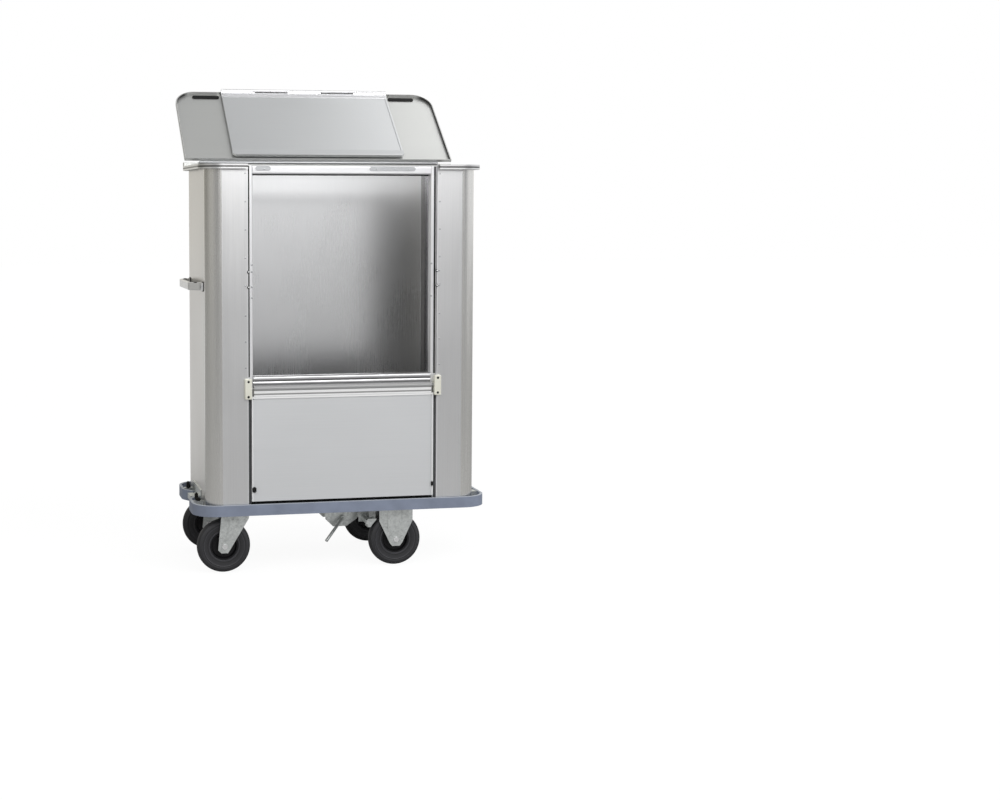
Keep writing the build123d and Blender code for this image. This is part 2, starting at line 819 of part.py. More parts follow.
save(lower_flap_hinge_rail, "lower_flap_hinge_rail")

with BuildPart() as lower_flap_grip_rail:
    grip_back = lower_axis_y + flap_sheet / 2
    grip_width = flap_width - 2 * flap_edge
    grip_face = grip_back + (flap_edge_depth - flap_sheet) / 2 + grip_rail_proud
    with BuildSketch(cross_section(-grip_width / 2)) as grip_shape:
        with Locations(
            (
                grip_back + (flap_edge_depth - flap_sheet) / 4 + grip_rail_proud / 2,
                grip_top_z - grip_rail_height / 2,
            )
        ):
            Rectangle((flap_edge_depth - flap_sheet) / 2 + grip_rail_proud, grip_rail_height)
        fillet(grip_shape.vertices().group_by(Axis.X)[-1], radius=4)
        for step in (-1, 1):
            with Locations((grip_face, grip_top_z - grip_rail_height / 2 + step * grip_groove_spacing / 2)):
                Circle(grip_groove_radius, mode=Mode.SUBTRACT)
    extrude(amount=grip_width)
save(lower_flap_grip_rail, "lower_flap_grip_rail")

with BuildPart() as lower_flap_buffers:
    for _, side in sides:
        with BuildSketch(length_section(lower_axis_y - flap_edge_depth / 2)):
            with Locations((side * (flap_width - flap_edge) / 2, lower_end_z + buffer_inset)):
                Circle(buffer_radius)
        extrude(amount=buffer_height)
save(lower_flap_buffers, "lower_flap_buffers")

# Hinge blocks on the seams: a plate on the front strip with a bored lug in the recess
for side_name, side in sides:
    with BuildPart() as hinge_block:
        with BuildSketch(length_section(front_y)):
            with Locations((side * block_x, lower_axis_z)):
                RectangleRounded(block_width, block_height, 4)
        extrude(amount=block_proud)
        outer_edges = hinge_block.faces().sort_by(Axis.Y)[0].edges()
        fillet(outer_edges, radius=3)
        lug_inner = block_x - block_width / 2 + 1
        x = (side * lug_inner, side * seam_x)
        box_between(
            (min(x), front_y - block_proud / 2, lower_axis_z - lug_height / 2),
            (max(x), panel_face_y, lower_axis_z + lug_height / 2),
        )
        with BuildSketch(cross_section(side * (lug_inner - 2))):
            with Locations((lower_axis_y, lower_axis_z)):
                Circle(lower_pin_radius + pin_clearance)
        extrude(amount=side * (seam_x - lower_pin_gap / 2 - lug_inner + 2), mode=Mode.SUBTRACT)
        for step in (-1, 1):
            with BuildSketch(length_section(front_y - block_proud)):
                with Locations(
                    (side * block_x, lower_axis_z + step * block_screw_spacing / 2)
                ):
                    Circle(block_screw_radius)
            extrude(amount=-block_screw_depth, mode=Mode.SUBTRACT)
    save(hinge_block, f"hinge_block_{side_name}")

# Catch studs beside the doorway, two levels on each seam
with BuildPart() as catch_studs:
    for _, side in sides:
        for stud_z in (catch_upper_z, catch_lower_z):
            with BuildSketch(length_section(front_y)):
                with Locations((side * (seam_x - catch_overhang), stud_z)):
                    Circle(catch_neck_radius)
            extrude(amount=catch_neck)
            with BuildSketch(length_section(front_y - catch_neck)):
                with Locations((side * (seam_x - catch_overhang), stud_z)):
                    Circle(catch_radius)
            extrude(amount=catch_head, taper=20)
save(catch_studs, "catch_studs")

# Push handle: a band bent into a bow on the left end panel
with BuildPart() as push_handle:
    foot_x = -half_length - handle_band / 2
    bow_x = -half_length - handle_reach + handle_band / 2
    with BuildSketch(Plane.XY.offset(handle_z - handle_height / 2)):
        with BuildLine() as bow:
            FilletPolyline(
                (foot_x, -handle_span / 2 - handle_slant - handle_foot),
                (foot_x, -handle_span / 2 - handle_slant),
                (bow_x, -handle_span / 2),
                (bow_x, handle_span / 2),
                (foot_x, handle_span / 2 + handle_slant),
                (foot_x, handle_span / 2 + handle_slant + handle_foot),
                radius=handle_bend,
            )
        trace(line_width=handle_band)
    extrude(amount=handle_height)
    outer_edges = push_handle.edges().filter_by(GeomType.LINE).filter_by(Axis.Y).group_by(Axis.X)[0]
    fillet(outer_edges, radius=3)
save(push_handle, "push_handle")

# Bumper: a band round the foot of the cabinet, its two ears turned in at the left end
with BuildPart() as bumper_strip:
    half_bumper = (bumper_length - bumper_band) / 2
    half_girth = (bumper_depth - bumper_band) / 2
    ear_in_x = -half_length - ear_plate_sheet - bumper_band / 2 - 1
    ear_y = bumper_ear_gap / 2
    with BuildSketch(Plane.XY.offset(bumper_bottom)):
        with BuildLine():
            FilletPolyline(
                (ear_in_x, -ear_y),
                (-half_bumper, -ear_y - bumper_ear_slant),
                (-half_bumper, -half_girth),
                (half_bumper, -half_girth),
                (half_bumper, half_girth),
                (-half_bumper, half_girth),
                (-half_bumper, ear_y + bumper_ear_slant),
                (ear_in_x, ear_y),
                radius=(
                    bumper_ear_bend,
                    bumper_radius,
                    bumper_radius,
                    bumper_radius,
                    bumper_radius,
                    bumper_ear_bend,
                ),
            )
        trace(line_width=bumper_band)
    extrude(amount=bumper_height)
save(bumper_strip, "bumper_strip")

# Spacers that carry the bumper, and the bar between its ears
with BuildPart() as bumper_brackets:
    bracket_low = body_bottom + spacer_inset / 2
    bracket_high = bumper_top - spacer_inset
    bumper_inner_x = bumper_length / 2 - bumper_band
    bumper_inner_y = bumper_depth / 2 - bumper_band
    for _, end in ends:
        y = end * end_spacer_spacing / 2
        box_between(
            (half_length, y - spacer_width / 2, bracket_low),
            (bumper_inner_x, y + spacer_width / 2, bracket_high),
        )
        box_between(
            (-bumper_inner_x, y - ear_spacer_width / 2, bracket_low),
            (-half_length, y + ear_spacer_width / 2, bracket_high),
        )
        y_pair = (end * half_depth, end * bumper_inner_y)
        for step in (-1, 0, 1):
            x = step * side_spacer_spacing
            box_between(
                (x - spacer_width / 2, min(y_pair), bracket_low),
                (x + spacer_width / 2, max(y_pair), bracket_high),
            )
    box_between(
        (-half_length - ear_plate_sheet, -ear_y - ear_plate_overlap, bracket_low),
        (-half_length, ear_y + ear_plate_overlap, bumper_top + ear_plate_rise),
    )
    box_between(
        (-half_length - bumper_end_reach, -ear_y + bumper_band, bracket_low),
        (-half_length, ear_y - bumper_band, bracket_low + ear_shelf_height),
    )
save(bumper_brackets, "bumper_brackets")

# Castors
plate_low = castor_height - plate_sheet
race_low = plate_low - race_height
crown_high = race_low - swivel_gap
crown_low = crown_high - fork_sheet
wheel_x = kingpin_x - castor_trail
leg_inner = fork_gap / 2
leg_outer = leg_inner + fork_sheet
fork_half_width = plate_length / 2 - 1.5
fork_shoulder_z = plate_low - fork_shoulder_drop
fork_rib_z = plate_low - fork_rib_length / 2 - 10


def castor_wheel(x, y, tyre_name, hub_name):
    """Tyre and hub of one wheel, centred at x, y."""
    section = Plane(origin=(x, y, wheel_radius), x_dir=(0, 1, 0), z_dir=(1, 0, 0))
    half = wheel_width / 2
    with BuildPart() as tyre:
        with BuildSketch(section):
            with BuildLine():
                tread_side = wheel_radius - tread_drop
                Polyline(
                    (half - rim_bevel, tread_side),
                    (half, tread_side - tread_shoulder),
                    (half - rim_bevel / 2, hub_radius + rim_bevel / 2),
                    (half - rim_bevel, hub_radius),
                    (rim_bevel - half, hub_radius),
                    (rim_bevel / 2 - half, hub_radius + rim_bevel / 2),
                    (-half, tread_side - tread_shoulder),
                    (rim_bevel - half, tread_side),
                )
                ThreePointArc(
                    (rim_bevel - half, tread_side),
                    (0, wheel_radius),
                    (half - rim_bevel, tread_side),
                )
            make_face()
        revolve(axis=Axis((x, y, wheel_radius), (0, 1, 0)))
    save(tyre, tyre_name)
    with BuildPart() as hub:
        with BuildSketch(section):
            with BuildLine():
                Polyline(
                    (1 - leg_inner, axle_radius + pin_clearance),
                    (leg_inner - 1, axle_radius + pin_clearance),
                    (leg_inner - 1, hub_boss_radius),
                    (hub_web / 2, hub_boss_radius),
                    (hub_web / 2, hub_radius - hub_rim),
                    (half - rim_bevel, hub_radius - hub_rim / 2),
                    (half - rim_bevel, hub_radius),
                    (rim_bevel - half, hub_radius),
                    (rim_bevel - half, hub_radius - hub_rim / 2),
                    (-hub_web / 2, hub_radius - hub_rim),
                    (-hub_web / 2, hub_boss_radius),
                    (1 - leg_inner, hub_boss_radius),
                    close=True,
                )
            make_face()
        revolve(axis=Axis((x, y, wheel_radius), (0, 1, 0)))
    save(hub, hub_name)


def castor_axle(places, name):
    """Axle bolts with their heads and nuts outside the fork legs, one for each place."""
    with BuildPart() as axle:
        for x, y in places:
            with BuildSketch(length_section(y + leg_outer)):
                with Locations((x, wheel_radius)):
                    Circle(axle_radius)
            extrude(amount=2 * leg_outer)
            for side in (-1, 1):
                with BuildSketch(length_section(y + side * leg_outer)):
                    with Locations((x, wheel_radius)):
                        RegularPolygon(axle_head_radius, 6)
                extrude(amount=-side * axle_head_height)
    save(axle, name)


for end_name, end in ends:
    y = end * castor_y
    with BuildPart() as swivel_plate:
        with BuildSketch(Plane.XY.offset(plate_low)):
            with Locations((kingpin_x, y)):
                RectangleRounded(plate_length, plate_width, plate_corner)
                with GridLocations(
                    plate_length - 2 * plate_slot_inset, plate_width - 2 * plate_slot_inset, 2, 2
                ):
                    SlotOverall(plate_slot_length, plate_slot_width, mode=Mode.SUBTRACT)
        extrude(amount=plate_sheet)
        with BuildSketch(Plane.XY.offset(race_low)):
            with Locations((kingpin_x, y)):
                Circle(race_radius)
        extrude(amount=race_height)
        with BuildSketch(Plane.XY.offset(crown_low - kingpin_nut_height)):
            with Locations((kingpin_x, y)):
                Circle(kingpin_radius)
        extrude(amount=race_low - crown_low + kingpin_nut_height)
        with BuildSketch(Plane.XY.offset(crown_low - kingpin_nut_height)):
            with Locations((kingpin_x, y)):
                RegularPolygon(kingpin_nut_radius, 6)
        extrude(amount=kingpin_nut_height - swivel_gap)
    save(swivel_plate, f"swivel_plate_{end_name}")

    with BuildPart() as swivel_fork:
        with BuildSketch(Plane.XY.offset(crown_low)):
            with Locations((kingpin_x, y)):
                Circle(race_radius + fork_crown_margin)
            with Locations(((kingpin_x + wheel_x) / 2 - fork_crown_shift, y)):
                Rectangle(fork_crown_length, 2 * leg_outer)
            with Locations((kingpin_x, y)):
                Circle(kingpin_radius + pin_clearance, mode=Mode.SUBTRACT)
        extrude(amount=fork_sheet)
        for side in (-1, 1):
            with BuildSketch(length_section(y + side * (leg_inner + leg_outer) / 2)):
                with BuildLine():
                    Polyline(
                        (wheel_x - swivel_leg_back, crown_high),
                        (kingpin_x + swivel_leg_front, crown_high),
                        (kingpin_x + swivel_leg_front - swivel_leg_taper, crown_low - swivel_leg_drop),
                        (wheel_x + fork_foot - swivel_leg_inset, wheel_radius - fork_foot / 2),
                        (wheel_x + fork_foot / 2, wheel_radius - fork_foot),
                        (wheel_x - fork_foot / 2, wheel_radius - fork_foot),
                        (wheel_x - fork_foot, wheel_radius - fork_foot / 2),
                        close=True,
                    )
                make_face()
                with Locations((wheel_x, wheel_radius)):
                    Circle(axle_radius, mode=Mode.SUBTRACT)
            extrude(amount=fork_sheet / 2, both=True)
            with BuildSketch(length_section(y + side * leg_outer)):
                with BuildLine():
                    Polyline(
                        (wheel_x + swivel_rib_near, crown_low - swivel_rib_drop),
                        (wheel_x + swivel_rib_far, crown_low - swivel_rib_drop),
                        (wheel_x + swivel_rib_foot_far, wheel_radius + swivel_rib_rise),
                        (wheel_x + swivel_rib_foot_near, wheel_radius + swivel_rib_rise),
                        close=True,
                    )
                make_face()
            extrude(amount=-side * fork_rib)
    save(swivel_fork, f"swivel_fork_{end_name}")

    castor_axle([(wheel_x, y)], f"swivel_axle_{end_name}")

    with BuildPart() as fixed_fork:
        with BuildSketch(Plane.XY.offset(plate_low)):
            with Locations((fixed_castor_x, y)):
                RectangleRounded(plate_length, plate_width, plate_corner)
                with GridLocations(
                    plate_length - 2 * plate_slot_inset, plate_width - 2 * plate_slot_inset, 2, 2
                ):
                    SlotOverall(plate_slot_length, plate_slot_width, mode=Mode.SUBTRACT)
        extrude(amount=plate_sheet)
        for side in (-1, 1):
            with BuildSketch(length_section(y + side * (leg_inner + leg_outer) / 2)):
                with BuildLine():
                    Polyline(
                        (fixed_castor_x - fork_half_width, plate_low),
                        (fixed_castor_x + fork_half_width, plate_low),
                        (fixed_castor_x + fork_half_width, fork_shoulder_z),
                        (fixed_castor_x + fork_foot, wheel_radius - fork_foot / 2),
                        (fixed_castor_x + fork_foot * 0.6, wheel_radius - fork_foot),
                        (fixed_castor_x - fork_foot * 0.6, wheel_radius - fork_foot),
                        (fixed_castor_x - fork_foot, wheel_radius - fork_foot / 2),
                        (fixed_castor_x - fork_half_width, fork_shoulder_z),
                        close=True,
                    )
                make_face()
                with Locations((fixed_castor_x, wheel_radius)):
                    Circle(axle_radius, mode=Mode.SUBTRACT)
            extrude(amount=fork_sheet / 2, both=True)
            for rib in (-1, 1):
                with BuildSketch(length_section(y + side * leg_outer)):
                    with Locations((fixed_castor_x + rib * fork_rib_spacing / 2, fork_rib_z)):
                        SlotOverall(fork_rib_length, fork_rib_width, rotation=90)
                extrude(amount=-side * fork_rib)
    save(fixed_fork, f"fixed_fork_{end_name}")

    castor_wheel(wheel_x, y, f"swivel_tyre_{end_name}", f"swivel_hub_{end_name}")
    castor_wheel(fixed_castor_x, y, f"fixed_tyre_{end_name}", f"fixed_hub_{end_name}")

castor_axle([(fixed_castor_x, end * castor_y) for _, end in ends], "fixed_axles")

# Brake: a bracket under the base, a foot lever on a cross shaft, and a bar with two shoes
with BuildPart() as brake_bracket:
    box_between(
        (-brake_plate_reach, -brake_y, castor_height - brake_plate_sheet),
        (brake_plate_reach, brake_y, castor_height),
    )
    guide_front = brake_bar_x - brake_bar_size / 2 - 10
    guide_back = brake_bar_x + brake_bar_size / 2 + brake_stroke + 10
    box_between(
        (guide_front, -brake_guide_y, castor_height - brake_plate_sheet),
        (guide_back, brake_guide_y, castor_height),
    )
    for side in (-1, 1):
        with BuildSketch(length_section(side * (brake_guide_y - brake_plate_sheet / 2))):
            guide_drop = castor_height - brake_bar_z + brake_bar_size / 2 + 8
            with Locations(((guide_front + guide_back) / 2, castor_height - guide_drop / 2)):
                Rectangle(guide_back - guide_front, guide_drop)
            with Locations((brake_bar_x + brake_stroke / 2, brake_bar_z)):
                Rectangle(
                    brake_bar_size + brake_stroke + 2 * slide_clearance,
                    brake_bar_size + 2 * slide_clearance,
                    mode=Mode.SUBTRACT,
                )
        extrude(amount=brake_plate_sheet / 2, both=True)
    for side in (-1, 1):
        with BuildSketch(length_section(side * (brake_y - brake_plate_sheet / 2))):
            with BuildLine():
                Polyline(
                    (brake_pivot_x - brake_plate_back, castor_height),
                    (brake_pivot_x + brake_plate_front, castor_height),
                    (brake_pivot_x + brake_plate_front, brake_pivot_z - brake_plate_shoulder),
                    (brake_pivot_x + brake_plate_toe_front, brake_pivot_z - brake_plate_drop),
                    (brake_pivot_x - brake_plate_toe_back, brake_pivot_z - brake_plate_drop),
                    (brake_pivot_x - brake_plate_back, brake_pivot_z - brake_plate_shoulder),
                    close=True,
                )
            make_face()
            with Locations((brake_pivot_x, brake_pivot_z)):
                Circle(brake_shaft_radius + pin_clearance, mode=Mode.SUBTRACT)
        extrude(amount=brake_plate_sheet / 2, both=True)
save(brake_bracket, "brake_bracket")

with BuildPart() as brake_lever:
    with BuildSketch(length_section(brake_y + brake_shaft_back)):
        with Locations((brake_pivot_x, brake_pivot_z)):
            Circle(brake_shaft_radius)
    extrude(amount=2 * brake_y + brake_shaft_back + brake_shaft_front)
    lever_y = -brake_y - lever_root
    rod_start = Vector(brake_pivot_x, lever_y, brake_pivot_z)
    rod_end = Vector(brake_pivot_x - lever_reach, lever_y - lever_spread, brake_pivot_z - lever_drop)
    with BuildSketch(Plane(origin=rod_start, z_dir=rod_end - rod_start)):
        Circle(brake_rod_radius)
    extrude(amount=(rod_end - rod_start).length)
save(brake_lever, "brake_lever")

with BuildPart() as brake_bar:
    box_between(
        (brake_bar_x - brake_bar_size / 2, -castor_y - shoe_width / 2, brake_bar_z - brake_bar_size / 2),
        (brake_bar_x + brake_bar_size / 2, castor_y + shoe_width / 2, brake_bar_z + brake_bar_size / 2),
    )
    for _, end in ends:
        with BuildSketch(length_section(end * castor_y + shoe_width / 2)):
            with Locations((brake_bar_x + brake_bar_size / 2 + shoe_offset, brake_bar_z - shoe_drop)):
                Rectangle(shoe_length, shoe_height)
            with Locations((fixed_castor_x - brake_stroke - shoe_gap, wheel_radius)):
                Circle(wheel_radius, mode=Mode.SUBTRACT)
        extrude(amount=shoe_width)
save(brake_bar, "brake_bar")
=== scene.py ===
"""Dresses the linen cart: metals, rubber and plastic, rivets, screws, strips of painted shade and
highlight, studio and camera.

Everything is in metres: X along the cart, Y from its front to its back, Z up from the floor.
"""

import math

import bmesh
import bpy
from mathutils import Matrix, Vector


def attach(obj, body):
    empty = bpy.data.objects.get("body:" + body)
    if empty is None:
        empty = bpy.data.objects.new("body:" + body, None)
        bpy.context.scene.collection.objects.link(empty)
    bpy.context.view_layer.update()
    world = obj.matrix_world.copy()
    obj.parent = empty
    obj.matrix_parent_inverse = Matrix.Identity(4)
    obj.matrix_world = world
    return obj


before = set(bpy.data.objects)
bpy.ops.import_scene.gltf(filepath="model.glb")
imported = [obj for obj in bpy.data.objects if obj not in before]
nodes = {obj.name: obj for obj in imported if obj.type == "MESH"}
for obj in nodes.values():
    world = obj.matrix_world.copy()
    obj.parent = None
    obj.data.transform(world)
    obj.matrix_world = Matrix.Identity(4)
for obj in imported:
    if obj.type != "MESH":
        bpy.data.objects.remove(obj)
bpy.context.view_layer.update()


scene = bpy.context.scene

# Places on the cart
sides = (-1, 1)
wheel_radius = 0.102
wheel_x = {"swivel": -0.456, "fixed": 0.212}
flap_pin_yz = (0.5002, 1.867)  # upper flap's pin, in the lid's front edge
flap_pin_barrel = 0.008
front_y = -0.275  # face of the front strips
post_y = -0.255  # face of the door posts
head_bar_y = -0.258


# Shader nodes
def add(tree, kind, **values):
    """New node with the given properties."""
    node = tree.nodes.new(kind)
    for key, value in values.items():
        setattr(node, key, value)
    return node


def is_output(value):
    return isinstance(value, bpy.types.NodeSocket)


def feed(tree, value, socket):
    """Link an output to a socket, or set the socket to a plain value."""
    if is_output(value):
        tree.links.new(value, socket)
    else:
        socket.default_value = value


def calc(tree, operation, *terms):
    """Math node on outputs and plain numbers."""
    node = add(tree, "ShaderNodeMath", operation=operation)
    for term, socket in zip(terms, node.inputs):
        feed(tree, term, socket)
    return node.outputs[0]


def map_range(tree, value, start, end, low=0.0, high=1.0, kind="LINEAR"):
    """Map start to end onto low to high, held level outside."""
    node = add(tree, "ShaderNodeMapRange", interpolation_type=kind)
    node.inputs["From Min"].default_value = start
    node.inputs["From Max"].default_value = end
    node.inputs["To Min"].default_value = low
    node.inputs["To Max"].default_value = high
    tree.links.new(value, node.inputs["Value"])
    return node.outputs["Result"]


def spread(tree, fac, low, high):
    """Stretch the middle half of a noise from low to high."""
    return map_range(tree, fac, 0.25, 0.75, low, high)


def ramp_between(tree, value, start, end):
    """0 before start, 1 beyond end, smooth between."""
    return map_range(tree, value, start, end, kind="SMOOTHSTEP")


def colour_mix(tree, fac, a, b, blend_type="MIX"):
    """Blend of two colours, each an output or three numbers."""
    node = add(tree, "ShaderNodeMix", data_type="RGBA", blend_type=blend_type)
    feed(tree, fac, node.inputs["Factor"])
    for colour, name in ((a, "A"), (b, "B")):
        feed(tree, colour if is_output(colour) else (*colour, 1), node.inputs[name])
    return node.outputs["Result"]


def colour_ramp(tree, value, stops):
    """Colours through stops of a position and a colour."""
    node = add(tree, "ShaderNodeValToRGB")
    elements = node.color_ramp.elements
    while len(elements) < len(stops):
        elements.new(0.5)
    for element, (position, colour) in zip(elements, stops):
        element.position = position
        element.color = (*colour, 1)
    tree.links.new(value, node.inputs["Fac"])
    return node.outputs["Color"]


def noise(tree, scale, stretch=(1, 1, 1), detail=3.0, rough=0.5):
    """Noise in object coordinates, stretched along the axes."""
    coords = add(tree, "ShaderNodeTexCoord")
    mapping = add(tree, "ShaderNodeMapping")
    mapping.inputs["Scale"].default_value = stretch
    tex = add(tree, "ShaderNodeTexNoise")
    tex.inputs["Scale"].default_value = scale
    tex.inputs["Detail"].default_value = detail
    tex.inputs["Roughness"].default_value = rough
    tree.links.new(coords.outputs["Object"], mapping.inputs["Vector"])
    tree.links.new(mapping.outputs["Vector"], tex.inputs["Vector"])
    return tex.outputs["Fac"]


def coordinate(tree, axis, kind="Object"):
    """One axis of the object coordinates, of the object's own normal, or of a world direction."""
    coords = add(tree, "ShaderNodeTexCoord")
    split = add(tree, "ShaderNodeSeparateXYZ")
    tree.links.new(coords.outputs[kind], split.inputs[0])
    return split.outputs[axis]


def radius_about(tree, axes, centre):
    """Distance from a line along the third axis."""
    squares = []
    for axis, place in zip(axes, centre):
        offset = calc(tree, "SUBTRACT", coordinate(tree, axis), place)
        squares.append(calc(tree, "MULTIPLY", offset, offset))
    return calc(tree, "SQRT", calc(tree, "ADD", *squares))


def bump(tree, height, strength, distance, normal):
    """Bump from a height, into a Normal socket."""
    node = add(tree, "ShaderNodeBump")
    node.inputs["Strength"].default_value = strength
    node.inputs["Distance"].default_value = distance
    tree.links.new(height, node.inputs["Height"])
    tree.links.new(node.outputs["Normal"], normal)


# Kinds of material
def principled(tree):
    return tree.nodes["Principled BSDF"]


def new_material(name):
    mat = bpy.data.materials.new(name)
    mat.use_nodes = True
    return mat, mat.node_tree, principled(mat.node_tree)


def two_tones(tree, fac, colour, dark, light):
    """Base colour from a darker to a lighter tone of one colour."""
    tones = [tuple(min(1.0, c * tone) for c in colour) for tone in (dark, light)]
    tree.links.new(colour_mix(tree, fac, *tones), principled(tree).inputs["Base Color"])


def tint(mat, fac, colour, blend_type="MIX"):
    """Blend the base colour with another one, as far as fac says."""
    tree = mat.node_tree
    base = principled(tree).inputs["Base Color"]
    tree.links.new(colour_mix(tree, fac, base.links[0].from_socket, colour, blend_type), base)


def aluminium(
    name, colour, roughness, stretch, grain=0.05, metallic=0.8, relief=0.06, uneven=0.06
):
    """Brushed, anodised aluminium, its grain along the axis with the small stretch.

    The colour varies by the share grain, the roughness by uneven, and relief is the bump.
    """
    cloud = 0.03
    mat, tree, shader = new_material(name)
    shader.inputs["Metallic"].default_value = metallic
    fine = noise(tree, 1.0, stretch, detail=4.0, rough=0.7)
    broad = noise(tree, 2.3, detail=2.0)
    two_tones(tree, spread(tree, fine, 0, 1), colour, 1 - grain, 1 + grain)
    brushed = spread(tree, fine, roughness - uneven, roughness + uneven)
    tree.links.new(
        calc(tree, "ADD", spread(tree, broad, -cloud, cloud), brushed),
        shader.inputs["Roughness"],
    )
    bump(tree, fine, relief, 0.0002, shader.inputs["Normal"])
    return mat


def galvanised(name, colour, roughness):
    """Zinc-plated steel with pale flakes."""
    flake_share, flake_gloss = 0.4, 0.08
    mat, tree, shader = new_material(name)
    shader.inputs["Metallic"].default_value = 0.85
    coords = add(tree, "ShaderNodeTexCoord")
    flakes = add(tree, "ShaderNodeTexVoronoi", feature="F1")
    flakes.inputs["Scale"].default_value = 160.0
    tree.links.new(coords.outputs["Object"], flakes.inputs["Vector"])
    grey = add(tree, "ShaderNodeRGBToBW")
    tree.links.new(flakes.outputs["Color"], grey.inputs["Color"])
    fine = noise(tree, 35.0, detail=5.0, rough=0.65)
    rest = spread(tree, fine, 0.0, 1 - flake_share)
    blend = calc(tree, "MULTIPLY_ADD", grey.outputs["Val"], flake_share, rest)
    two_tones(tree, blend, colour, 0.62, 1.25)
    tree.links.new(
        spread(tree, blend, roughness + flake_gloss, roughness - flake_gloss),
        shader.inputs["Roughness"],
    )
    bump(tree, fine, 0.12, 0.0004, shader.inputs["Normal"])
    return mat


def plastic(name, colour, roughness, scale=900.0, strength=0.15, specular=0.5):
    """Moulded plastic or rubber with a fine grain and slight cloudiness."""
    mat, tree, shader = new_material(name)
    shader.inputs["Specular IOR Level"].default_value = specular
    fine = noise(tree, scale, detail=2.0)
    broad = noise(tree, 14.0)
    two_tones(tree, spread(tree, broad, 0, 1), colour, 0.88, 1.1)
    tree.links.new(
        spread(tree, broad, roughness - 0.05, roughness + 0.07), shader.inputs["Roughness"]
    )
    bump(tree, fine, strength, 0.0002, shader.inputs["Normal"])
    return mat


def paint_light_bands(mat, *stops):
    """Multiply the base colour by a grey at each height: painted highlights and painted shade
    lines along the rows and grooves of an extrusion.
    """
    tree = mat.node_tree
    low, high = stops[0][0], stops[-1][0]
    span = map_range(tree, coordinate(tree, "Z"), low, high)
    greys = [((height - low) / (high - low), (grey,) * 3) for height, grey in stops]
    tint(mat, 1.0, colour_ramp(tree, span, greys), "MULTIPLY")


# Grey of a tyre's side at each share of the wheel's radius, with painted shade in the grooves
tyre_rings = (
    (0.0, 0.012),
    (0.50, 0.012),
    (0.54, 0.050),
    (0.585, 0.046),
    (0.60, 0.010),
    (0.64, 0.024),
    (0.74, 0.034),
    (0.765, 0.066),
    (0.785, 0.014),
    (0.82, 0.032),
    (0.92, 0.038),
    (0.945, 0.014),
    (1.0, 0.036),
)


def tyre(name, x, tone):
    """Rubber tyre round an axle at x, with grooves round its sidewall and painted shade in them;
    tone darkens the whole tyre.
    """
    blueness = 1.12
    mat = plastic(name, (0.8, 0.8, 0.8), 0.55, scale=500, strength=0.3)
    tree = mat.node_tree
    share = calc(tree, "DIVIDE", radius_about(tree, "XZ", (x, wheel_radius)), wheel_radius)
    stops = [
        (place, (grey * tone, grey * tone, grey * tone * blueness)) for place, grey in tyre_rings
    ]
    rings = colour_ramp(tree, share, stops)
    tint(mat, 1.0, rings, "MULTIPLY")
    fine = principled(tree).inputs["Normal"].links[0].from_node
    bump(tree, rings, 0.9, 0.03, fine.inputs["Normal"])
    return mat


# Materials
upright_grain = (900, 900, 3)
close_upright_grain = (1700, 1700, 8)
along_grain = (3, 900, 900)
no_grain = (200, 200, 200)
# Near-white and barely metallic: painted highlight on the bright rows of the lower flap's rail and
# on the flap's edge beads
highlight_white = (0.97, 0.97, 0.97)
rail_look = {"grain": 0.02, "metallic": 0.1, "relief": 0.01}
profile_look = {"grain": 0.02, "metallic": 0.8, "relief": 0.01}

wall_metal = aluminium("wall_metal", (0.80, 0.80, 0.80), 0.33, upright_grain, metallic=0.95)
corner_metals = {
    end: aluminium(
        f"corner_metal_{end}", (0.78, 0.77, 0.745), 0.25, upright_grain, metallic=0.95
    )
    for end in ("front", "rear")
}
end_metal = aluminium("end_metal", (0.78, 0.765, 0.74), 0.36, upright_grain, metallic=0.95)
rear_metal = aluminium(
    "rear_metal",
    (0.88, 0.885, 0.89),
    0.28,
    close_upright_grain,
    grain=0.03,
    metallic=0.95,
    relief=0.004,
    uneven=0.015,
)
post_metal = aluminium(
    "post_metal", (0.90, 0.90, 0.91), 0.36, upright_grain, grain=0.02, metallic=0.6
)
panel_metal = aluminium(
    "panel_metal", (0.78, 0.79, 0.80), 0.45, along_grain, grain=0.03, metallic=0.5
)
upper_metal = aluminium(
    "upper_metal", (0.66, 0.67, 0.675), 0.42, along_grain, grain=0.03, metallic=0.85
)
lid_metal = aluminium(
    "lid_metal", (0.62, 0.625, 0.61), 0.42, along_grain, grain=0.03, metallic=0.9
)
rim_metal = aluminium(
    "rim_metal", (0.74, 0.74, 0.735), 0.32, along_grain, grain=0.03, metallic=0.9
)
sill_metal = aluminium("sill_metal", (0.82, 0.82, 0.83), 0.32, along_grain, **profile_look)
profile_metal = aluminium("profile_metal", (0.84, 0.84, 0.85), 0.32, along_grain, **profile_look)
rail_metal = aluminium("rail_metal", highlight_white, 0.34, along_grain, **rail_look)
bead_metal = aluminium("bead_metal", highlight_white, 0.34, along_grain, **rail_look)
steel_metal = aluminium("steel_metal", (0.50, 0.51, 0.52), 0.32, no_grain, grain=0.06)
bright_steel = aluminium("bright_steel", (0.88, 0.88, 0.88), 0.25, no_grain, grain=0.03)
zinc_metal = galvanised("zinc_metal", (0.74, 0.765, 0.75), 0.36)
cream = plastic("cream", (0.80, 0.79, 0.69), 0.42)
black_rubber = plastic("black_rubber", (0.008, 0.008, 0.008), 0.6, specular=0.25)
bumper_rubber = plastic("bumper_rubber", (0.235, 0.268, 0.350), 0.5, specular=0.4)
hub_black = plastic("hub_black", (0.006, 0.006, 0.007), 0.45, specular=0.3)
gap_shade_grey = plastic("gap_shade_grey", (0.085, 0.088, 0.092), 0.5)
seal_rubber = plastic("seal_rubber", (0.50, 0.50, 0.49), 0.5)

# Painted shade: the seal is made black on the faces towards the lid's ends, where the lid's lips
# shade it
tree = seal_rubber.node_tree
endwards = calc(tree, "ABSOLUTE", coordinate(tree, "X", "Normal"))
tint(seal_rubber, ramp_between(tree, endwards, 0.25, 0.6), (0.01, 0.01, 0.01))
